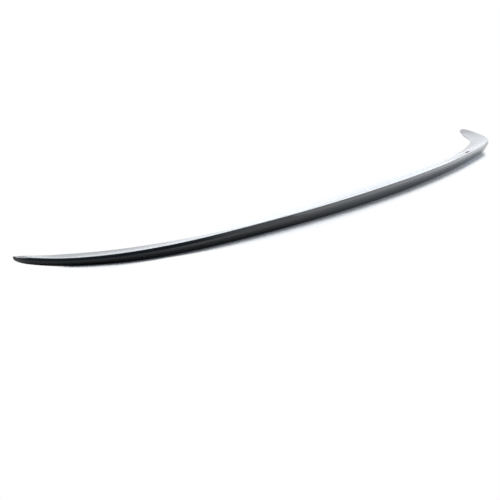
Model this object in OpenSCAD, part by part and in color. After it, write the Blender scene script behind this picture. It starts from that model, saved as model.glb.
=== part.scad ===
// Lip spoiler for the rear edge of a car's boot lid, in millimetres.
// It is one moulding: a section of changing size that is carried along the curve of its rear crest.
// The origin is on the rear bonding land, in the middle of the part. +X runs along the part, +Y
// points forward, towards the lid, and +Z is up.

/* [Crest curve in plan] */
// Length of the crest along its curve, from the middle to one tip
half_len = 701.5; // [640:0.5:760]
// Radius of the gentle middle stretch
middle_r = 2410; // [1800:5:6000]
// Radius of the shoulder, where each end sweeps forward
shoulder_r = 256; // [220:1:360]
// Radius that the curve tightens towards at each tip
tip_r = 55; // [34:1:120]
// Distance from the middle, along the crest, at which the shoulder's bend begins
shoulder_at = 375; // [260:1:400]
// Length over which the bend grows to the shoulder's radius
shoulder_blend = 193; // [160:1:330]
// Length of the last stretch before the tip, in which the bend tightens
tip_bend = 53; // [20:1:100]
// Length over which the bend grows to the tip's radius
tip_blend = 80; // [30:1:120]

/* [Crest height] */
// Height of the crest in the middle
crest_middle = 19.4; // [15:0.1:30]
// Height of the crest half-way to the shoulder
crest_flank = 17.5; // [14:0.1:30]
// Height of the crest at the shoulder
crest_shoulder = 15; // [12:0.1:26]
// Height of the crest where the fin begins
crest_fin = 11; // [9:0.1:20]
// Height of the crest at the tip
crest_tip = 12.1; // [10:0.1:18]

/* [Depth, from the crest forward to the thin edge] */
// Depth in the middle
depth_middle = 51; // [38:0.5:75]
// Depth half-way to the shoulder
depth_flank = 39.5; // [34:0.5:65]
// Depth at the shoulder
depth_shoulder = 38; // [32:0.5:60]
// Depth where the fin begins
depth_fin = 34.5; // [26:0.5:45]
// Depth at the tip
depth_tip = 13; // [9:0.5:20]

/* [Front edge] */
// Thickness of the thin front edge
edge_t = 2.4; // [1.6:0.1:3.5]
// Thickness of the front edge at the tip
edge_t_tip = 3.9; // [2:0.1:5]
// Length of the stretch before the tip over which the front edge thickens
edge_grow_len = 50; // [20:1:120]
// Height of the front edge's underside half-way to the shoulder
edge_flank = 1.1; // [0:0.1:4]
// Height of the front edge's underside at the shoulder
edge_shoulder = 5.3; // [0:0.1:6]
// Height of the front edge's underside where the fin begins
edge_fin = 3.9; // [0:0.1:5]
// Height of the front edge's underside at the tip
edge_tip = 5; // [3:0.1:7]
// How far the top dips below a straight line from the crest to the front edge, except in the fins
top_dip = 1.4; // [0:0.1:2]

/* [Rear face] */
// How far the crease stands out behind the crest
crease_out = 2.2; // [1:0.1:6]
// Height of the crease, as a share of the rear face's height
crease_share = 0.67; // [0.5:0.01:0.8]
// How far the foot of the rear face lies forward of the crest at the fins (0 in the middle)
foot_in = 2; // [0:0.1:4]
// How far the foot rises off the surface at the tip
foot_lift = 2.4; // [0:0.1:4]
// Length of the stretch before the tip over which the foot rises
foot_lift_len = 60; // [20:1:120]

/* [Rounded edges] */
// Rounding of the crest
crest_round = 1.2; // [0.3:0.1:3]
// Rounding of the crease
crease_round = 2.2; // [0.5:0.1:4]
// Rounding of the foot
foot_round = 0.8; // [0.3:0.1:2]
// Length over which each tip rounds off
tip_round = 22; // [8:0.5:30]

/* [Underside] */
// Wall between the top and the channel below it
wall = 2.6; // [1.8:0.1:4]
// Width of the rear bonding land
land_rear = 7; // [4:0.5:10]
// Width of the front bonding land
land_front = 11; // [6:0.5:16]
// Length of the solid fin at each end, where the channel stops
solid_fin = 144; // [110:1:220]
// Pockets in the channel, on each side of the middle
pockets = 6; // [3:1:9]
// Thickness of the ribs between the pockets
rib_t = 2.4; // [1.6:0.1:4]
// How far the ribs stop short of the lands
rib_setback = 0.8; // [0.3:0.1:2]
// Length over which a pocket's end wall leans, so that the moulding leaves its tool
pocket_draft = 1.6; // [0.6:0.1:4]

/* [Hidden] */
spoiler_colour = [0.03, 0.032, 0.038];

// Where the section's sizes are given, from the middle to the tip, along the crest
flank_s = 0.45 * half_len;
shoulder_s = 0.72 * half_len;
fin_s = 0.9 * half_len;
stations = [0, flank_s, shoulder_s, fin_s, half_len];
crest_at = [crest_middle, crest_flank, crest_shoulder, crest_fin, crest_tip];
depth_at = [depth_middle, depth_flank, depth_shoulder, depth_fin, depth_tip];
edge_at = [0, edge_flank, edge_shoulder, edge_fin, edge_tip];
foot_shares = [0, 0.15, 0.75, 1, 1];
foot_in_at = foot_in * foot_shares;
dip_shares = [1, 1, 1, 0.2, 0];
dip_at = top_dip * dip_shares;

// Faces of the smooth stretches
top_steps = 8;
roof_steps = 5;
round_steps = 3;
pocket_steps = 4;
fin_step = 8;
tip_steps = 6;

// The largest part of the section's depth that one land may take where the section is narrow, and
// the largest part of the rear land's width that the ribs may stop short of the lands
land_share = 0.4;
setback_share = 0.12;
// The largest part of a straight stretch that the rounding of one corner may take
round_share = 0.45;
// What is left of the section's depth and height at the end of the rounded tip, and the point that
// it draws in to, as shares of the depth and of the crest's height
tip_left = [0.3, 0.42];
tip_centre = [0.2, 0.76];

// Where the channel stops, the pitch of the ribs, and how far the origin lies forward of the crest
channel_end = half_len - solid_fin;
rib_pitch = channel_end / pockets;
land_middle = land_rear / 2;

// A smooth step from 0 to 1, and the area under it
function smooth(t) = let (c = min(max(t, 0), 1)) c * c * (3 - 2 * c);
function smooth_area(t) = let (c = min(max(t, 0), 1)) c * c * c * (1 - c / 2) + max(t - 1, 0);

// Direction of the crest, in degrees, at the distance s from the middle. The bend is that of the
// middle radius, to which two smooth steps add those of the shoulder and of the tip.
function heading(s) =
    let (shoulder = smooth_area((s - shoulder_at) / shoulder_blend) * shoulder_blend)
    let (tip = smooth_area((s - half_len + tip_bend) / tip_blend) * tip_blend)
    (s / middle_r
        + shoulder * (1 / shoulder_r - 1 / middle_r)
        + tip * (1 / tip_r - 1 / shoulder_r)) * 180 / PI;

// Slope of a curve through the values v at station i: level in the middle, then from the neighbours
function slope(v, i) =
    i == 0 ? 0 :
    let (k = min(i + 1, len(v) - 1)) (v[k] - v[i - 1]) / (stations[k] - stations[i - 1]);

// Smooth curve through the values v, at the distance s from the middle
function along(v, s) =
    let (i = s < flank_s ? 0 : s < shoulder_s ? 1 : s < fin_s ? 2 : 3)
    let (w = stations[i + 1] - stations[i])
    let (t = (s - stations[i]) / w)
    v[i] + (v[i + 1] - v[i]) * smooth(t)
        + w * t * (1 - t) * (slope(v, i) * (1 - t) - slope(v, i + 1) * t);

// A smooth step from 0 to 1 over the last stretch before the tip, of the given length
function grown(s, length) = smooth((s - half_len + length) / length);

// Points that round the corner b between a and c, starting the length r before it where there is room
function rounded(a, b, c, r) =
    let (p = b + (a - b) * min(r / norm(a - b), round_share))
    let (q = b + (c - b) * min(r / norm(c - b), round_share))
    [for (i = [0 : round_steps])
        let (t = i / round_steps)
        p * (1 - t) * (1 - t) + b * 2 * t * (1 - t) + q * t * t];

// How open the channel is at the distance s: 0 at a rib and in the fin, 1 in a pocket
function openness(s) =
    let (from_rib = abs(s - rib_pitch * round(s / rib_pitch)) - rib_t / 2)
    s > channel_end ? 0 : min(max(from_rib / pocket_draft, 0), 1);

// The section at the distance s, as points [forward of the crest, up], counter-clockwise
function section(s) =
    let (crest = along(crest_at, s))
    let (depth = along(depth_at, s))
    let (edge = max(along(edge_at, s), 0))
    let (foot_n = along(foot_in_at, s))
    let (foot = foot_lift * grown(s, foot_lift_len))
    let (thick = edge_t + (edge_t_tip - edge_t) * grown(s, edge_grow_len))
    let (rear_w = min(land_rear, land_share * (depth - foot_n)))
    let (front_w = min(land_front, land_share * (depth - foot_n)))
    let (n0 = foot_n + rear_w)
    let (n1 = depth - front_w)
    let (edge_bottom = [depth, edge])
    let (edge_top = [depth, edge + thick])
    let (crest_p = [0, crest])
    let (crease_p = [-crease_out, foot + (crest - foot) * crease_share])
    let (foot_p = [foot_n, foot])
    let (dip = 4 * along(dip_at, s) / depth / depth)
    let (top = [for (i = [1 : top_steps - 1])
        let (n = depth * (1 - i / top_steps))
        [n, top_z(n, depth, crest, edge_top.y, dip)]])
    let (roof = [for (i = [0 : roof_steps])
        let (n = n0 + (n1 - n0) * i / roof_steps)
        let (low = foot + (edge - foot) * i / roof_steps + min(rib_setback, rear_w * setback_share))
        let (high = top_z(n, depth, crest, edge_top.y, dip) - wall)
        [n, low + openness(s) * max(high - low, 0)]])
    concat(
        rounded([n1, edge], edge_bottom, edge_top, thick),
        rounded(edge_bottom, edge_top, top[0], thick),
        top,
        rounded(top[top_steps - 2], crest_p, crease_p, crest_round),
        rounded(crest_p, crease_p, foot_p, crease_round),
        rounded(crease_p, foot_p, [n0, foot], foot_round),
        [[n0, foot]],
        roof,
        [[n1, edge]]);

// Height of the top, n forward of the crest, which comes down to the height front at the front edge
function top_z(n, depth, crest, front, dip) =
    crest + (front - crest) * n / depth - dip * n * (depth - n);

// The section near the tip, drawn in as the tip rounds off
function tip_section(s) =
    let (t = max((s - half_len + tip_round) / tip_round, 0))
    let (left = [1, 1] - ([1, 1] - tip_left) * (1 - sqrt(1 - t * t)))
    let (c = [along(depth_at, s) * tip_centre.x, crest_tip * tip_centre.y])
    [for (p = section(s)) [c.x + (p.x - c.x) * left.x, c.y + (p.y - c.y) * left.y]];

// Distances from the middle at which a section is drawn: at both faces of every rib, along the
// pockets, along the fin, and close together where the tip rounds off
pocket_s = [for (k = [0 : pockets - 1])
    let (a = k * rib_pitch + rib_t / 2)
    let (b = (k + 1) * rib_pitch - rib_t / 2)
    let (step = (b - a - 2 * pocket_draft) / (pocket_steps + 1))
    each concat([a], [for (i = [0 : pocket_steps + 1]) a + pocket_draft + step * i], [b])];
fin_len = half_len - tip_round - channel_end;
fin_steps = ceil(fin_len / fin_step);
fin_s_list = [for (i = [0 : fin_steps - 1]) channel_end + fin_len * i / fin_steps];
tip_s = [for (i = [0 : tip_steps]) half_len - tip_round + tip_round * sin(90 * i / tip_steps)];
drawn_s = concat([0], pocket_s, fin_s_list, tip_s);

// Places of the crest in plan, one for each section, added up from chord to chord
function chord(i) =
    i + 1 == len(drawn_s) ? [0, 0] :
    let (a = heading((drawn_s[i] + drawn_s[i + 1]) / 2))
    (drawn_s[i + 1] - drawn_s[i]) * [cos(a), sin(a)];
crest_xy = [for (i = 0, p = [0, 0]; i < len(drawn_s); p = p + chord(i), i = i + 1) p];

// One section set square to the crest, on the right half or mirrored onto the left
function ring(i, side) =
    let (a = heading(drawn_s[i]))
    [for (p = tip_section(drawn_s[i]))
        [side * (crest_xy[i].x - sin(a) * p.x), crest_xy[i].y + cos(a) * p.x - land_middle, p.y]];

// A closed skin over rings that all have the same number of points
module skin(rings) {
    n = len(rings[0]);
    last = len(rings) - 1;
    sides = [for (i = [0 : last - 1], j = [0 : n - 1])
        let (a = i * n + j)
        let (b = i * n + (j + 1) % n)
        each [[a, a + n, b + n], [a, b + n, b]]];
    caps = [[for (j = [0 : n - 1]) j], [for (j = [n - 1 : -1 : 0]) last * n + j]];
    polyhedron([for (r = rings) each r], concat(sides, caps), convexity = 10);
}

// The whole moulding: top, rear face, fins, lands, channel and ribs in one piece
module spoiler() {
    left = [for (i = [len(drawn_s) - 1 : -1 : 1]) ring(i, -1)];
    right = [for (i = [0 : len(drawn_s) - 1]) ring(i, 1)];
    color(spoiler_colour) skin(concat(left, right));
}

spoiler();
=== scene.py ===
# %% [markdown]
# # A gloss black lip spoiler
# The lip lies on a white floor and is seen from behind and from its left end. It is one moulding,
# painted gloss black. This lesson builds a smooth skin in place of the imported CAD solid, paints it,
# and lights it as a small white studio would.

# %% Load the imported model
import math

import bpy
import numpy as np
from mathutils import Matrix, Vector


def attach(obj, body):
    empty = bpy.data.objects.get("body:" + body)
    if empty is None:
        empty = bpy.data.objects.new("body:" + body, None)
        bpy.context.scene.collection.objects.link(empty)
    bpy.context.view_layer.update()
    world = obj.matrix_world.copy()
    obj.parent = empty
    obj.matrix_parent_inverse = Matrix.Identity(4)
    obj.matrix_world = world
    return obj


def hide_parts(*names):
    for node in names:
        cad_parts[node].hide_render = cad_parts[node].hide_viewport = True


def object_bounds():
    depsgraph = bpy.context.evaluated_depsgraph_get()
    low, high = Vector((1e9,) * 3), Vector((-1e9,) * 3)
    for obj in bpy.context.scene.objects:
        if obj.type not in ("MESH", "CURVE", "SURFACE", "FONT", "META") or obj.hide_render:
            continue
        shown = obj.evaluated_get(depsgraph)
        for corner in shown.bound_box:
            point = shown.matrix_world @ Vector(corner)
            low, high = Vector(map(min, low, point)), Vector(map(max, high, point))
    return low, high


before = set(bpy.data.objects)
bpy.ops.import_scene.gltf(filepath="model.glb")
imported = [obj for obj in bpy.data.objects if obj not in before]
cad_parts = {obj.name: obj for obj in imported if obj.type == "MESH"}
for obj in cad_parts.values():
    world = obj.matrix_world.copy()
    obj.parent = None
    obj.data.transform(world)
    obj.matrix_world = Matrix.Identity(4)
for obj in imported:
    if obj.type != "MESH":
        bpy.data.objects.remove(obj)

cad_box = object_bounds()
print("CAD box, metres:", [[round(v, 4) for v in corner] for corner in cad_box])

# %% [markdown]
# ## Sizes
# The skin needs the sizes that the solid was drawn with, because a gloss surface shows every facet of
# a coarse mesh. They are repeated here in millimetres and turned into metres once, at the end. The
# crest is the line that everything hangs on: its bend is given by three radii, and the section's sizes
# are given at five places along it.

# %% Sizes of the crest, in millimetres
HALF_LEN = 701.5
MIDDLE_R, SHOULDER_R, TIP_R = 2410.0, 256.0, 55.0
SHOULDER_AT, SHOULDER_BLEND = 375.0, 193.0
TIP_BEND, TIP_BLEND = 53.0, 80.0

# %% Sizes of the section, in millimetres
STATIONS = HALF_LEN * np.array([0, 0.45, 0.72, 0.9, 1])
CREST = np.array([19.4, 17.5, 15, 11, 12.1])
DEPTH = np.array([51, 39.5, 38, 34.5, 13])
EDGE = np.array([0, 1.1, 5.3, 3.9, 5])
FOOT_IN = np.array([0, 0.3, 1.5, 2, 2])
TOP_DIP = 1.4 * np.array([1, 1, 1, 0.2, 0])
EDGE_T, EDGE_T_TIP, EDGE_GROW_LEN = 2.4, 3.9, 50.0
CREASE_OUT, CREASE_SHARE = 2.2, 0.67
FOOT_LIFT, FOOT_LIFT_LEN = 2.4, 60.0
CREST_ROUND, CREASE_ROUND, FOOT_ROUND = 1.2, 2.2, 0.8
TIP_ROUND, TIP_LEFT, TIP_CENTRE = 22.0, (0.3, 0.42), (0.2, 0.76)

# %% Sizes of the underside, in millimetres
WALL, LAND_REAR, LAND_FRONT = 2.6, 7.0, 11.0
SOLID_FIN, POCKETS, RIB_T = 144.0, 6, 2.4
RIB_SETBACK, POCKET_DRAFT = 0.8, 1.6
LAND_SHARE, SETBACK_SHARE, ROUND_SHARE = 0.4, 0.12, 0.45
CHANNEL_END = HALF_LEN - SOLID_FIN
RIB_PITCH = CHANNEL_END / POCKETS
LAND_MIDDLE = LAND_REAR / 2
MM = 0.001

# %% [markdown]
# ## The camera
# The photograph is a perspective view with a fairly short lens, so the near end looks far larger than
# the far end. The camera's place was found by fitting the part's outlines to the picture. A focal
# length given in pixels becomes millimetres of lens through the width of the sensor.

# %% Set up the camera
VIEW_YAW, VIEW_PITCH = math.radians(51.45), math.radians(17.131)
VIEW_DISTANCE, VIEW_TARGET = 1.1272, Vector((-0.4079, -0.0127, 0))
FOCAL_PX, PICTURE_PX, SENSOR_MM = 851.2, 500, 36
SEES_TO = 60


def place(obj, location, target):
    """Puts an object at a place and turns its -Z axis towards a target, with +Y up."""
    obj.location = location
    obj.rotation_euler = (Vector(target) - Vector(location)).to_track_quat("-Z", "Y").to_euler()


camera = bpy.data.objects.new("camera", bpy.data.cameras.new("camera"))
bpy.context.scene.collection.objects.link(camera)
camera.data.sensor_width = SENSOR_MM
camera.data.lens = SENSOR_MM * FOCAL_PX / PICTURE_PX
camera.data.clip_end = SEES_TO
to_camera = Vector((-math.sin(VIEW_YAW) * math.cos(VIEW_PITCH),
                    -math.cos(VIEW_YAW) * math.cos(VIEW_PITCH),
                    math.sin(VIEW_PITCH)))
place(camera, VIEW_TARGET + VIEW_DISTANCE * to_camera, VIEW_TARGET)
bpy.context.scene.camera = camera
print("camera at", [round(v, 3) for v in camera.location], "lens", round(camera.data.lens, 1), "mm")

# %% [markdown]
# ## Curves along the crest
# Two helpers carry all of the shape. A smooth step goes from 0 to 1 with level ends. Its area is what
# a bend adds to the direction of the crest, because a direction is the sum of the bends before it.
# The section's sizes follow a cubic curve through their five values.

# %% Curve helpers


def smooth(t):
    """Three t squared minus two t cubed, held at 0 and 1 outside that range."""
    c = np.clip(t, 0, 1)
    return c * c * (3 - 2 * c)


def smooth_area(t):
    """The area under the smooth step from 0 to t: t cubed minus half of t to the fourth, then t - 1/2."""
    c = np.clip(t, 0, 1)
    return c ** 3 * (1 - c / 2) + np.maximum(t - 1, 0)


def heading(s):
    """Direction of the crest in radians: s over the middle radius, plus what two smooth steps add."""
    shoulder = (1 / SHOULDER_R - 1 / MIDDLE_R) * SHOULDER_BLEND
    tip = (1 / TIP_R - 1 / SHOULDER_R) * TIP_BLEND
    return (s / MIDDLE_R + shoulder * smooth_area((s - SHOULDER_AT) / SHOULDER_BLEND)
            + tip * smooth_area((s - HALF_LEN + TIP_BEND) / TIP_BLEND))


def along(values, s):
    """Cubic curve through the values at the stations: level in the middle, then with the slope
    between a station's two neighbours."""
    slopes = np.zeros(5)
    slopes[1:4] = (values[2:] - values[:3]) / (STATIONS[2:] - STATIONS[:3])
    slopes[4] = (values[4] - values[3]) / (STATIONS[4] - STATIONS[3])
    i = np.clip(np.searchsorted(STATIONS, s, side="right") - 1, 0, 3)
    w = STATIONS[i + 1] - STATIONS[i]
    t = (s - STATIONS[i]) / w
    return (values[i] + (values[i + 1] - values[i]) * smooth(t)
            + w * t * (1 - t) * (slopes[i] * (1 - t) - slopes[i + 1] * t))


# %% [markdown]
# ## Where the sections go
# A ribbed underside changes abruptly at each rib, so a section is drawn exactly at the foot and at the
# top of every pocket's end wall, with even steps between. Each tip rounds off along a quarter of an
# ellipse, where the steps follow the sine of an angle, which crowds them towards the end.

# %% Distances from the middle at which a section is drawn
EVEN_STEP, TIP_STEPS, CLOSEST = 3.0, 20, 0.02
rib_centres = RIB_PITCH * np.arange(POCKETS + 1)
wall_at = RIB_T / 2 + np.array([0, POCKET_DRAFT])
rib_faces = (rib_centres[:, None] + np.concatenate([-wall_at, wall_at])).ravel()
even = np.arange(0, HALF_LEN - TIP_ROUND, EVEN_STEP)
tip_s = HALF_LEN - TIP_ROUND + TIP_ROUND * np.sin(np.linspace(0, math.pi / 2, TIP_STEPS))
rib_faces = rib_faces[(rib_faces > 0) & (rib_faces <= CHANNEL_END)]
drawn_s = np.unique(np.round(np.concatenate([even, rib_faces, [CHANNEL_END], tip_s]), 4))
drawn_s = drawn_s[np.concatenate([[True], np.diff(drawn_s) > CLOSEST])]
turn = heading(drawn_s)
middle_turn = heading((drawn_s[1:] + drawn_s[:-1]) / 2)
steps = np.diff(drawn_s)[:, None] * np.stack([np.cos(middle_turn), np.sin(middle_turn)], 1)
crest_xy = np.concatenate([[[0, 0]], np.cumsum(steps, 0)])
print(len(drawn_s), "sections on each side; the tip is at", np.round(crest_xy[-1], 1), "mm")

# %% [markdown]
# ## The section
# One closed outline is worked out for all the places along the crest at once. It runs round the thin
# front edge, back along the top, over the crest, down the two bands of the rear face, and forward
# along the underside: a land for the bonding tape, the channel, and a second land. A corner is rounded
# with a parabola that starts and ends on its two sides.

# %% Section helpers
ROUND_STEPS, TOP_STEPS, BAND_STEPS, ROOF_STEPS = 8, 30, 4, 12


def points(n, z):
    """Pairs of distance forward of the crest and height, one for each section."""
    return np.stack(np.broadcast_arrays(n, z, drawn_s)[:2], -1)


def rounded(a, b, c, r):
    """A parabola round the corner b: p(1-t)^2 + 2bt(1-t) + qt^2, with p and q the length r from b."""
    p = b + (a - b) * np.minimum(r / np.linalg.norm(a - b, axis=-1), ROUND_SHARE)[:, None]
    q = b + (c - b) * np.minimum(r / np.linalg.norm(c - b, axis=-1), ROUND_SHARE)[:, None]
    t = np.linspace(0, 1, ROUND_STEPS + 1)[None, :, None]
    return p[:, None] * (1 - t) ** 2 + 2 * b[:, None] * t * (1 - t) + q[:, None] * t ** 2


def between(a, b, count):
    """Points that divide the straight stretch from a to b, without its ends."""
    t = np.arange(1, count)[None, :, None] / count
    return a[:, None] * (1 - t) + b[:, None] * t


def grown(length):
    """A smooth step from 0 to 1 over the last stretch before the tip, of the given length."""
    return smooth((drawn_s - HALF_LEN + length) / length)


def openness(s):
    """How open the channel is: 0 at a rib and in the fin, rising to 1 over the lean of an end wall."""
    from_rib = np.abs(s - RIB_PITCH * np.round(s / RIB_PITCH)) - RIB_T / 2
    return np.where(s > CHANNEL_END, 0, np.clip(from_rib / POCKET_DRAFT, 0, 1))


# %% Sizes of every section
crest = along(CREST, drawn_s)
depth = along(DEPTH, drawn_s)
edge = np.maximum(along(EDGE, drawn_s), 0)
dip = along(TOP_DIP, drawn_s)
foot_n, foot = along(FOOT_IN, drawn_s), FOOT_LIFT * grown(FOOT_LIFT_LEN)
thick = EDGE_T + (EDGE_T_TIP - EDGE_T) * grown(EDGE_GROW_LEN)
rear_w = np.minimum(LAND_REAR, LAND_SHARE * (depth - foot_n))
front_w = np.minimum(LAND_FRONT, LAND_SHARE * (depth - foot_n))
n0, n1 = foot_n + rear_w, depth - front_w


def on_top(share):
    """Points of the top at shares of the depth: a straight line from crest to front edge, less a
    parabola that dips below it. share has one row for each section, or one row for all of them."""
    n = depth[:, None] * share
    fall = (edge + thick - crest)[:, None] * share
    return np.stack([n, crest[:, None] + fall - 4 * dip[:, None] * share * (1 - share)], -1)


# %% The outline, counter-clockwise, for all sections at once
CORNER_SHARE = 1 / 8
edge_bottom, edge_top = points(depth, edge), points(depth, edge + thick)
crest_p, foot_p = points(0, crest), points(foot_n, foot)
crease_p = points(-CREASE_OUT, foot + (crest - foot) * CREASE_SHARE)
front_land, rear_land = points(n1, edge), points(n0, foot)
near_edge = on_top(np.array([[1 - CORNER_SHARE]]))[:, 0]
near_crest = on_top(np.array([[CORNER_SHARE]]))[:, 0]
nose_low = rounded(front_land, edge_bottom, edge_top, thick)
nose_high = rounded(edge_bottom, edge_top, near_edge, thick)
over_crest = rounded(near_crest, crest_p, crease_p, CREST_ROUND)
over_crease = rounded(crest_p, crease_p, foot_p, CREASE_ROUND)
over_foot = rounded(crease_p, foot_p, rear_land, FOOT_ROUND)
upper_band = between(over_crest[:, -1], over_crease[:, 0], BAND_STEPS)
lower_band = between(over_crease[:, -1], over_foot[:, 0], BAND_STEPS)

# %% The top and the channel's roof
top_from, top_to = nose_high[:, -1:, 0] / depth[:, None], over_crest[:, :1, 0] / depth[:, None]
top = on_top(top_from + (top_to - top_from) * (np.arange(1, TOP_STEPS) / TOP_STEPS))
across = np.linspace(0, 1, ROOF_STEPS + 1)[None, :]
roof = on_top((n0[:, None] + (n1 - n0)[:, None] * across) / depth[:, None])
setback = np.minimum(RIB_SETBACK, rear_w * SETBACK_SHARE)
low = foot[:, None] + (edge - foot)[:, None] * across + setback[:, None]
roof[..., 1] = low + openness(drawn_s)[:, None] * np.maximum(roof[..., 1] - WALL - low, 0)

# %% Join the stretches
painted = np.concatenate([nose_low, nose_high, top, over_crest, upper_band, over_crease, lower_band,
                          over_foot], 1)
outline = np.concatenate([painted, rear_land[:, None], roof, front_land[:, None]], 1)
print("outline points:", outline.shape[1], "of which painted:", painted.shape[1])

# %% [markdown]
# ## The paint's edge
# The lip is painted from outside, so the colour coat wraps round the foot and the front edge and then
# fades to the bare moulding on the underside. A number on every vertex, 1 where the coat is full and 0
# where there is none, tells the material where that happens.

# %% How much paint each point of the outline carries
FIRST_COAT = 0.6
paint = np.zeros(outline.shape[1])
paint[:painted.shape[1]] = 1
paint[0] = FIRST_COAT
print("points with a full coat:", int((paint == 1).sum()), "with none:", int((paint == 0).sum()))

# %% [markdown]
# ## Sections in their places
# So far each outline is flat: a distance forward of the crest and a height. Each is now put at its
# point of the crest and turned square to it. Near the tips the outlines shrink towards a point inside
# them, along a quarter of an ellipse, which makes the tips blunt and round. The left half is the mirror
# image of the right half.

# %% Set the sections square to the crest
t = np.clip((drawn_s - HALF_LEN + TIP_ROUND) / TIP_ROUND, 0, 1)
left = 1 - (1 - np.array(TIP_LEFT))[None, :] * (1 - np.sqrt(1 - t * t))[:, None]
centre = points(depth * TIP_CENTRE[0], CREST[-1] * TIP_CENTRE[1])
outline = centre[:, None] + (outline - centre[:, None]) * left[:, None]
sin_a, cos_a = np.sin(turn)[:, None], np.cos(turn)[:, None]
right_half = np.stack([crest_xy[:, :1] - sin_a * outline[..., 0],
                       crest_xy[:, 1:] + cos_a * outline[..., 0] - LAND_MIDDLE,
                       outline[..., 1]], -1)
left_half = right_half[:0:-1] * [-1, 1, 1]
rings = np.concatenate([left_half, right_half]) * MM
print("rings:", rings.shape, "length", round(float(np.ptp(rings[..., 0])), 4), "m")

# %% [markdown]
# ## The skin and the solid
# The solid's curves are drawn with straight chords, so its box is a very little smaller than that of the
# smooth skin. The skin is scaled by that little, and so it stays inside the solid's box.

# %% Fit the skin to the solid's box
cad_low, cad_high = np.array(cad_box)
skin_low, skin_high = rings.min((0, 1)), rings.max((0, 1))
shrink = np.minimum((cad_high - cad_low) / (skin_high - skin_low), 1)
rings = (cad_low + cad_high) / 2 + (rings - (skin_low + skin_high) / 2) * shrink
print("the skin is scaled by", np.round(shrink, 5))

# %% [markdown]
# ## From rings to a mesh
# Rings that all have the same number of points make a grid, and a grid's faces follow from counting:
# each face joins two points of one ring to the same two of the next. The two ends are closed with a
# fan of triangles round a middle point.

# %% Build the mesh


def skin(name, rings, values):
    """A closed mesh over rings of equal length: quads between neighbouring rings and a fan at each end.
    values is one number for each point of a ring, kept on the vertices as the attribute 'paint'."""
    count, n = rings.shape[:2]
    i, j = np.meshgrid(np.arange(count - 1), np.arange(n), indexing="ij")
    k = (j + 1) % n
    quads = np.stack([i * n + j, i * n + k, (i + 1) * n + k, (i + 1) * n + j], -1).reshape(-1, 4)[:, ::-1]
    ends = np.stack([rings[0].mean(0), rings[-1].mean(0)])
    j = np.arange(n)
    k = (j + 1) % n
    start = np.stack([np.full(n, count * n), k, j], 1)
    finish = np.stack([np.full(n, count * n + 1), (count - 1) * n + j, (count - 1) * n + k], 1)
    mesh = bpy.data.meshes.new(name)
    mesh.from_pydata(np.concatenate([rings.reshape(-1, 3), ends]).tolist(), [],
                     quads.tolist() + start.tolist() + finish.tolist())
    mesh.update()
    layer = mesh.attributes.new("paint", "FLOAT", "POINT")
    layer.data.foreach_set("value", np.concatenate([np.tile(values, count), [1, 1]]).astype(np.float32))
    obj = bpy.data.objects.new(name, mesh)
    bpy.context.scene.collection.objects.link(obj)
    return obj


spoiler = skin("spoiler_skin", rings, paint)
SHARP_ANGLE = math.radians(32)
spoiler.data.shade_smooth()
spoiler.data.set_sharp_from_angle(angle=SHARP_ANGLE)
print("faces:", len(spoiler.data.polygons))

# %% Put the skin in the place of the CAD node
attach(spoiler, "root")
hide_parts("spoiler")
print("the skin stands in for the node spoiler, on the body root")

# %% [markdown]
# ## Effects that the finish needs
# Each effect is a group of shader nodes with named sockets, so that it can be used again on another
# part. Sprayed paint is never quite flat: it dries with a faint ripple, like the skin of an orange.
# Dust settles as small specks. The bare moulding has a fine even grain from its tool. The photograph
# also shows one small dull mark on the top, near the right shoulder: a mask round a point makes it.

# %% Links and groups


def link(tree, start, end):
    """Joins an output socket to an input socket."""
    tree.links.new(start, end)


def new_group(name, inputs, outputs):
    """A shader node group with float or vector inputs and float outputs, and its end nodes."""
    group = bpy.data.node_groups.new(name, "ShaderNodeTree")
    for label, kind, value in inputs:
        socket = group.interface.new_socket(label, in_out="INPUT", socket_type=kind)
        if value is not None:
            socket.default_value = value
    for label in outputs:
        group.interface.new_socket(label, in_out="OUTPUT", socket_type="NodeSocketFloat")
    return group, group.nodes.new("NodeGroupInput"), group.nodes.new("NodeGroupOutput")


# %% Sums of sockets and numbers


def math_node(tree, operation, a, b=None, clamp=False):
    """A Math node whose inputs are sockets or plain numbers."""
    node = tree.nodes.new("ShaderNodeMath")
    node.operation = operation
    node.use_clamp = clamp
    for socket, value in zip(node.inputs, (a, b)):
        if isinstance(value, bpy.types.NodeSocket):
            link(tree, value, socket)
        elif value is not None:
            socket.default_value = value
    return node.outputs[0]


def combined(tree, operation, *values):
    """Joins the first two values by a Math operation, then the result and the third, and so on."""
    result = values[0]
    for value in values[1:]:
        result = math_node(tree, operation, result, value)
    return result


def vector_node(tree, operation, a, b=None):
    """A Vector Math node whose inputs are sockets."""
    node = tree.nodes.new("ShaderNodeVectorMath")
    node.operation = operation
    for socket, value in zip(node.inputs, (a, b)):
        if value is not None:
            link(tree, value, socket)
    return node


def step_node(tree, value, start, end):
    """A smooth step from 0 at start to 1 at end; it falls instead where end is the smaller."""
    node = tree.nodes.new("ShaderNodeMapRange")
    node.interpolation_type = "SMOOTHSTEP"
    node.inputs["From Min"].default_value = min(start, end)
    node.inputs["From Max"].default_value = max(start, end)
    node.inputs["To Min"].default_value = 0.0 if start < end else 1.0
    node.inputs["To Max"].default_value = 1.0 if start < end else 0.0
    link(tree, value, node.inputs["Value"])
    return node.outputs[0]


# %% Mixtures


def mix_colour(tree, factor, a, b):
    """Mixes two colours, each a socket or four numbers, by a mask."""
    node = tree.nodes.new("ShaderNodeMix")
    node.data_type = "RGBA"
    link(tree, factor, node.inputs["Factor"])
    for socket, value in ((node.inputs[6], a), (node.inputs[7], b)):
        if isinstance(value, bpy.types.NodeSocket):
            link(tree, value, socket)
        else:
            socket.default_value = value
    return node.outputs[2]


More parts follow.
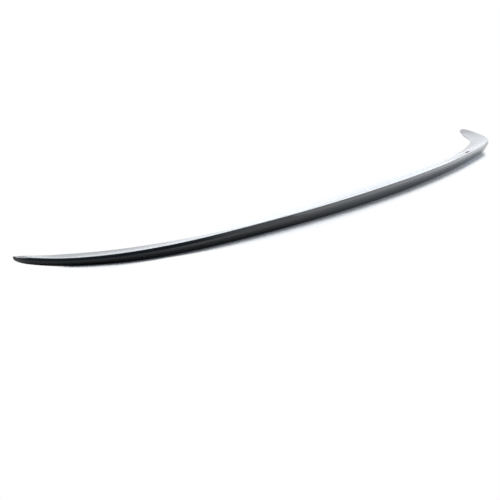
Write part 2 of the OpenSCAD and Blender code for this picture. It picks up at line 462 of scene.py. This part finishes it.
def mix_shader(tree, factor, a, b):
    """Mixes two shaders by a factor."""
    node = tree.nodes.new("ShaderNodeMixShader")
    link(tree, factor, node.inputs[0])
    link(tree, a, node.inputs[1])
    link(tree, b, node.inputs[2])
    return node.outputs[0]


# %% Orange peel
VECTOR, FLOAT = "NodeSocketVector", "NodeSocketFloat"
peel, g_in, g_out = new_group(
    "orange_peel", [("Vector", VECTOR, None), ("Ripples per metre", FLOAT, 300.0)], ["Height"])
ripple = peel.nodes.new("ShaderNodeTexNoise")
ripple.inputs["Detail"].default_value = 1.5
link(peel, g_in.outputs["Vector"], ripple.inputs["Vector"])
link(peel, g_in.outputs["Ripples per metre"], ripple.inputs["Scale"])
link(peel, ripple.outputs["Fac"], g_out.inputs["Height"])

# %% Dust
dust, g_in, g_out = new_group(
    "dust_specks", [("Vector", VECTOR, None), ("Specks per metre", FLOAT, 160.0), ("Size", FLOAT, 0.12)],
    ["Mask"])
cells = dust.nodes.new("ShaderNodeTexVoronoi")
link(dust, g_in.outputs["Vector"], cells.inputs["Vector"])
link(dust, g_in.outputs["Specks per metre"], cells.inputs["Scale"])
chance = dust.nodes.new("ShaderNodeSeparateColor")
link(dust, cells.outputs["Color"], chance.inputs["Color"])
rarely_large = math_node(dust, "POWER", chance.outputs["Red"], 3)
size = math_node(dust, "MULTIPLY", g_in.outputs["Size"], rarely_large)
speck = math_node(dust, "LESS_THAN", cells.outputs["Distance"], size)
link(dust, speck, g_out.inputs["Mask"])

# %% Moulded grain
grain, g_in, g_out = new_group(
    "moulded_grain", [("Vector", VECTOR, None), ("Grains per metre", FLOAT, 1400.0)], ["Height"])
pebble = grain.nodes.new("ShaderNodeTexNoise")
pebble.inputs["Detail"].default_value = 3
link(grain, g_in.outputs["Vector"], pebble.inputs["Vector"])
link(grain, g_in.outputs["Grains per metre"], pebble.inputs["Scale"])
link(grain, pebble.outputs["Fac"], g_out.inputs["Height"])

# %% Dull mark
dull, g_in, g_out = new_group(
    "dull_mark", [("Vector", VECTOR, None), ("Centre", VECTOR, (0, 0, 0)),
                  ("Half size", VECTOR, (0.01, 0.01, 0.01)), ("Turn", FLOAT, 0.0)], ["Mask"])
turned = dull.nodes.new("ShaderNodeVectorRotate")
turned.rotation_type = "Z_AXIS"
for start, end in (("Vector", "Vector"), ("Centre", "Center"), ("Turn", "Angle")):
    link(dull, g_in.outputs[start], turned.inputs[end])
offset = vector_node(dull, "SUBTRACT", turned.outputs[0], g_in.outputs["Centre"])
scaled = vector_node(dull, "DIVIDE", offset.outputs["Vector"], g_in.outputs["Half size"])
length = vector_node(dull, "LENGTH", scaled.outputs["Vector"])
MARK_EDGE, MARK_FULL = 1.0, 0.3
link(dull, step_node(dull, length.outputs["Value"], MARK_EDGE, MARK_FULL), g_out.inputs["Mask"])
print("effects:", [group.name for group in bpy.data.node_groups])

# %% [markdown]
# ## The finish
# Gloss black paint is a very dark colour under clear lacquer. Nearly all that is seen of it is
# reflection, so the coat matters more than the colour. One Principled shader holds both finishes: the
# paint's mask raises the coat and lowers the roughness, and where it is 0 the bare grey-black
# moulding shows. Dust and the dull mark take the coat away and leave a rough surface.

# %% Numbers of the finish
PAINT_COLOUR, BARE_COLOUR = (0.002, 0.003, 0.0045, 1), (0.02, 0.02, 0.021, 1)
DUST_COLOUR = (0.3, 0.3, 0.29, 1)
PAINT_ROUGHNESS, BARE_ROUGHNESS = 0.35, 0.48
PAINT_IOR, PAINT_SPECULAR = 1.45, 0.15
COAT_ROUGHNESS, COAT_IOR = 0.025, 1.5
DUST_SHARE = 0.5
PEEL_HEIGHT, GRAIN_HEIGHT = 0.0000022, 0.00003
MARK_AT, MARK_HALF = (0.377, 0.0435, 0.012), (0.018, 0.007, 0.01)
MARK_TURN = math.radians(-24)
MARK_ROUGHNESS = 0.9

# %% Build the material
material = bpy.data.materials.new("gloss_black_paint")
material.use_nodes = True
tree = material.node_tree
tree.nodes.clear()
shader = tree.nodes.new("ShaderNodeBsdfPrincipled")
output = tree.nodes.new("ShaderNodeOutputMaterial")
link(tree, shader.outputs["BSDF"], output.inputs["Surface"])
shader.inputs["IOR"].default_value = PAINT_IOR
shader.inputs["Specular IOR Level"].default_value = PAINT_SPECULAR
shader.inputs["Coat Roughness"].default_value = COAT_ROUGHNESS
shader.inputs["Coat IOR"].default_value = COAT_IOR
coords = tree.nodes.new("ShaderNodeTexCoord").outputs["Object"]

# %% Masks of the material


def effect(tree, group, **values):
    """Places an effect's group in a material, on Object coordinates, and returns its first output."""
    node = tree.nodes.new("ShaderNodeGroup")
    node.node_tree = group
    link(tree, coords, node.inputs["Vector"])
    for label, value in values.items():
        node.inputs[label.replace("_", " ")].default_value = value
    return node.outputs[0]


layer = tree.nodes.new("ShaderNodeAttribute")
layer.attribute_name = "paint"
cover = layer.outputs["Fac"]
specks = effect(tree, dust)
mark = effect(tree, dull, Centre=MARK_AT, Half_size=MARK_HALF, Turn=MARK_TURN)
marked = math_node(tree, "SUBTRACT", cover, mark, clamp=True)
speckled = math_node(tree, "MULTIPLY", specks, DUST_SHARE)
base = mix_colour(tree, cover, BARE_COLOUR, PAINT_COLOUR)
link(tree, mix_colour(tree, speckled, base, DUST_COLOUR), shader.inputs["Base Color"])
rough = math_node(tree, "ADD", BARE_ROUGHNESS,
                  math_node(tree, "MULTIPLY", cover, PAINT_ROUGHNESS - BARE_ROUGHNESS))
dulled = math_node(tree, "MAXIMUM", speckled, math_node(tree, "MULTIPLY", mark, MARK_ROUGHNESS))
link(tree, math_node(tree, "MAXIMUM", rough, dulled), shader.inputs["Roughness"])
link(tree, math_node(tree, "SUBTRACT", marked, speckled, clamp=True), shader.inputs["Coat Weight"])

# %% Relief of the material
peel_height = math_node(tree, "MULTIPLY", effect(tree, peel), PEEL_HEIGHT)
bare = math_node(tree, "SUBTRACT", 1.0, cover)
grain_height = combined(tree, "MULTIPLY", effect(tree, grain), bare, GRAIN_HEIGHT)
bump = tree.nodes.new("ShaderNodeBump")
bump.inputs["Distance"].default_value = 1.0
link(tree, math_node(tree, "ADD", peel_height, grain_height), bump.inputs["Height"])
link(tree, bump.outputs["Normal"], shader.inputs["Normal"])
link(tree, bump.outputs["Normal"], shader.inputs["Coat Normal"])
spoiler.data.materials.append(material)
print("nodes of the finish:", len(tree.nodes))

# %% [markdown]
# ## The floor
# A gloss black surface shows the room more than it shows itself, so the floor and the room matter as
# much as the paint. The floor of the picture is plain white, and the part still keeps its shadow. So
# the floor is lit paper close to the part and turns plain white within a few centimetres. A number on
# every point of the floor says how far it lies from the part, as a share of the shadow's reach there.

# %% A floor whose grid is fine near the part
FLOOR_FAR, FLOOR_GAP = np.array([1.2, 2, 4, 12]), 0.0003
FINE_X, FINE_Y = np.arange(-0.8, 0.801, 0.005), np.arange(-0.15, 0.301, 0.005)
floor_x = np.concatenate([-FLOOR_FAR[::-1], FINE_X, FLOOR_FAR])
floor_y = np.concatenate([-FLOOR_FAR[::-1], FINE_Y, FLOOR_FAR])
grid = np.stack(np.meshgrid(floor_x, floor_y, [-FLOOR_GAP], indexing="ij"), -1)
rows, columns = grid.shape[:2]
i, j = np.meshgrid(np.arange(rows - 1), np.arange(columns - 1), indexing="ij")
corner = i * columns + j
tiles = np.stack([corner, corner + columns, corner + columns + 1, corner + 1], -1)
floor_mesh = bpy.data.meshes.new("floor")
floor_mesh.from_pydata(grid.reshape(-1, 3).tolist(), [], tiles.reshape(-1, 4).tolist())
print("floor tiles:", len(floor_mesh.polygons))

# %% Distance of the floor's points from the foot and the front edge of the part
BATCHES = 64
foot_line, front_line = rings[:, painted.shape[1] - 1, :2], rings[:, 0, :2]
lines = np.concatenate([foot_line, front_line])
batches = np.array_split(grid.reshape(-1, 1, 3)[..., :2], BATCHES)
clear = np.concatenate([np.linalg.norm(batch - lines, axis=-1).min(1) for batch in batches])

# %% Reach of the shadow at places along X, which ends before both ends of the part
REACH_X = np.array([-0.6, -0.57, -0.54, -0.5, -0.44, -0.38, -0.3, -0.2, -0.08, 0.01, 0.12, 0.22, 0.31, 0.4])
REACH_MM = np.array([30, 23, 12.5, 8.5, 16.5, 27, 35, 33, 29.5, 27, 25, 24, 23, 24])
LEFT_FADE, LEFT_FADE_LEN, RIGHT_FADE, RIGHT_FADE_LEN = 0.58, 0.07, 0.39, 0.14
END_SHARE = 1.7
x = grid[..., 0].ravel()
past_end = smooth((-x - LEFT_FADE) / LEFT_FADE_LEN) + smooth((x - RIGHT_FADE) / RIGHT_FADE_LEN)
share = clear / np.interp(x, REACH_X, REACH_MM * MM) + END_SHARE * past_end
clearance = floor_mesh.attributes.new("clearance", "FLOAT", "POINT")
clearance.data.foreach_set("value", share.astype(np.float32))
print("the shadow reaches", REACH_MM.min(), "to", REACH_MM.max(), "mm from the part")

# %% Place the floor
floor = bpy.data.objects.new("floor", floor_mesh)
bpy.context.scene.collection.objects.link(floor)

# %% [markdown]
# ## What each kind of ray sees of the floor
# Rays from the camera see the paper with its shadow, which is paler and bluer towards the far end.
# Rays that the paint mirrors see a little more light on the right half of the floor, and much more in
# front of the part, inside the bow, which is what makes the top nearly white. Towards the near fin they
# see the paper dimmer. All of these were set by comparing the bands of the part with the photograph. A
# place is given as where the change starts and where it ends, in metres along X, or forward along Y.

# %% Places on the floor where what is seen of it changes
NEAR_FIN, RIGHT_HALF = (-0.42, -0.57), (-0.35, -0.1)
FAR_HALF, PAST_FAR_END = (0.0, 0.45), (0.4, 0.5)
INSIDE_BOW = (0.03, 0.12)

# %% Numbers of the floor's material
FLOOR_COLOUR, DIM_COLOUR, FILL_COLOUR = (0.96, 0.96, 0.96, 1), (0.5, 0.5, 0.5, 1), (0.85, 0.97, 1.1, 1)
SHOWN_FILL, FAR_FILL, MIRRORED_FILL, BOW_FILL = 0.03, 0.12, 0.14, 0.3
WHITE_FROM, WHITE_TO = 0.4, 1.0

# %% Masks of the floor's material
floor_material = bpy.data.materials.new("studio_floor")
floor_material.use_nodes = True
tree = floor_material.node_tree
tree.nodes.clear()
rays = tree.nodes.new("ShaderNodeLightPath")
shown, mirrored = rays.outputs["Is Camera Ray"], rays.outputs["Is Glossy Ray"]
place_xyz = tree.nodes.new("ShaderNodeSeparateXYZ")
link(tree, tree.nodes.new("ShaderNodeTexCoord").outputs["Object"], place_xyz.inputs[0])
right, forward = place_xyz.outputs["X"], place_xyz.outputs["Y"]
by_near_fin = step_node(tree, right, *NEAR_FIN)
by_right_half = step_node(tree, right, *RIGHT_HALF)
far_half = step_node(tree, right, *FAR_HALF)
past_far_end = step_node(tree, right, *PAST_FAR_END)
in_bow = combined(tree, "MULTIPLY", step_node(tree, forward, *INSIDE_BOW),
                  math_node(tree, "SUBTRACT", 1.0, by_near_fin))
away = tree.nodes.new("ShaderNodeAttribute")
away.attribute_name = "clearance"

# %% Paper close to the part
paper = tree.nodes.new("ShaderNodeBsdfDiffuse")
dim = combined(tree, "MULTIPLY", mirrored, by_near_fin)
link(tree, mix_colour(tree, dim, FLOOR_COLOUR, DIM_COLOUR), paper.inputs["Color"])
fill = tree.nodes.new("ShaderNodeEmission")
fill.inputs["Color"].default_value = FILL_COLOUR
fills = [combined(tree, "MULTIPLY", shown, SHOWN_FILL),
         combined(tree, "MULTIPLY", mirrored, by_right_half, MIRRORED_FILL),
         combined(tree, "MULTIPLY", math_node(tree, "ADD", shown, mirrored), far_half, FAR_FILL),
         combined(tree, "MULTIPLY", mirrored, in_bow, BOW_FILL)]
link(tree, combined(tree, "ADD", *fills), fill.inputs["Strength"])
near = tree.nodes.new("ShaderNodeAddShader")
link(tree, paper.outputs[0], near.inputs[0])
link(tree, fill.outputs[0], near.inputs[1])

# %% Plain white further away
plain = tree.nodes.new("ShaderNodeEmission")
plain.inputs["Strength"].default_value = 1.0
seen = math_node(tree, "MAXIMUM", shown, combined(tree, "MULTIPLY", mirrored, past_far_end))
far = combined(tree, "MULTIPLY", step_node(tree, away.outputs["Fac"], WHITE_FROM, WHITE_TO), seen)
output = tree.nodes.new("ShaderNodeOutputMaterial")
link(tree, mix_shader(tree, far, near.outputs[0], plain.outputs[0]), output.inputs["Surface"])
floor_mesh.materials.append(floor_material)
print("nodes of the floor's material:", len(tree.nodes))

# %% [markdown]
# ## The room
# The room is light all round but for a dark side behind the camera, which is a sector of the compass
# with soft borders that reaches up nearly overhead. The light is strongest on the far side, opposite
# the camera. The compass angle is worked out in the world's shader from the direction of the ray.
# Camera rays see plain white.

# %% Directions of the room, in degrees from -Y towards +X
ROOM_LIGHT = 0.35
LIGHT_COLOUR, DARK_COLOUR = (0.95, 0.985, 1.04, 1), (0.13, 0.17, 0.23, 1)
FAR_COLOUR = (1.5, 1.54, 1.61, 1)
DARK_LEFT, DARK_RIGHT, DARK_SOFT = -100, 28.5, 8
DARK_TOP, DARK_TOP_SOFT = 0.98, 0.02
FAR_START, FAR_START_FULL, FAR_END_FULL, FAR_END = 103, 121, 133, 143

# %% The compass angle of a ray
world = bpy.data.worlds.new("studio")
bpy.context.scene.world = world
world.use_nodes = True
tree = world.node_tree
tree.nodes.clear()
direction = tree.nodes.new("ShaderNodeSeparateXYZ")
link(tree, tree.nodes.new("ShaderNodeTexCoord").outputs["Generated"], direction.inputs[0])
back_y = math_node(tree, "MULTIPLY", direction.outputs["Y"], -1.0)
from_back = math_node(tree, "ARCTAN2", direction.outputs["X"], back_y)
compass = math_node(tree, "DEGREES", from_back)

# %% The dark side and the far side
left_side = step_node(tree, compass, DARK_LEFT - DARK_SOFT, DARK_LEFT + DARK_SOFT)
right_side = step_node(tree, compass, DARK_RIGHT + DARK_SOFT, DARK_RIGHT - DARK_SOFT)
below = step_node(tree, direction.outputs["Z"], DARK_TOP + DARK_TOP_SOFT, DARK_TOP - DARK_TOP_SOFT)
dark = combined(tree, "MULTIPLY", left_side, right_side, below)
far_side = combined(tree, "MULTIPLY", step_node(tree, compass, FAR_START, FAR_START_FULL),
                    step_node(tree, compass, FAR_END, FAR_END_FULL))

# %% What each kind of ray sees of the room


def background(tree, strength, colour=(1, 1, 1, 1)):
    """A Background shader with a strength and a colour, which may be a socket."""
    node = tree.nodes.new("ShaderNodeBackground")
    node.inputs["Strength"].default_value = strength
    if isinstance(colour, bpy.types.NodeSocket):
        link(tree, colour, node.inputs["Color"])
    else:
        node.inputs["Color"].default_value = colour
    return node.outputs[0]


rays = tree.nodes.new("ShaderNodeLightPath")
room = mix_colour(tree, dark, mix_colour(tree, far_side, LIGHT_COLOUR, FAR_COLOUR), DARK_COLOUR)
seen_room = mix_shader(tree, rays.outputs["Is Glossy Ray"], background(tree, ROOM_LIGHT, room),
                       background(tree, 1.0, room))
whole_room = mix_shader(tree, rays.outputs["Is Camera Ray"], seen_room, background(tree, 1.0))
output = tree.nodes.new("ShaderNodeOutputWorld")
link(tree, whole_room, output.inputs["Surface"])
print("nodes of the room:", len(tree.nodes))

# %% [markdown]
# ## Softboxes
# A lamp's brightness in a reflection is its power over its area and pi, so a large lamp can be strong
# and still look soft. The key light stands high in front of the part, to the left, and throws the
# shadow out under the rear face. The right light is a low and weak one at the back that brightens the
# upper band of that face. Both lamps are hidden from the camera. Distances and sizes are in metres.

# %% Place the softboxes
LAMP_COLOUR, LAMP_AIM = (0.93, 0.965, 1.0), (0, 0.08, 0)


def softbox(name, compass, distance, height, size, radiance):
    """A rectangular lamp at a compass angle, aimed at the part. Power is radiance times pi times area."""
    lamp = bpy.data.lights.new(name, "AREA")
    lamp.shape = "RECTANGLE"
    lamp.size, lamp.size_y = size
    lamp.energy = radiance * math.pi * size[0] * size[1]
    lamp.color = LAMP_COLOUR
    obj = bpy.data.objects.new(name, lamp)
    bpy.context.scene.collection.objects.link(obj)
    angle = math.radians(compass)
    place(obj, (distance * math.sin(angle), -distance * math.cos(angle), height), LAMP_AIM)
    obj.visible_camera = False
    print(name, round(lamp.energy), "W")


softbox("key_light", compass=-140, distance=3.5, height=3.6, size=(3.2, 2.8), radiance=9.5)
softbox("right_light", compass=66, distance=3.2, height=0.85, size=(3.4, 1.9), radiance=1.0)

# %% [markdown]
# ## Last steps
# The standard view shows each colour as it is written, with no film look over it.

# %% Colour management
bpy.context.scene.view_settings.view_transform = "Standard"
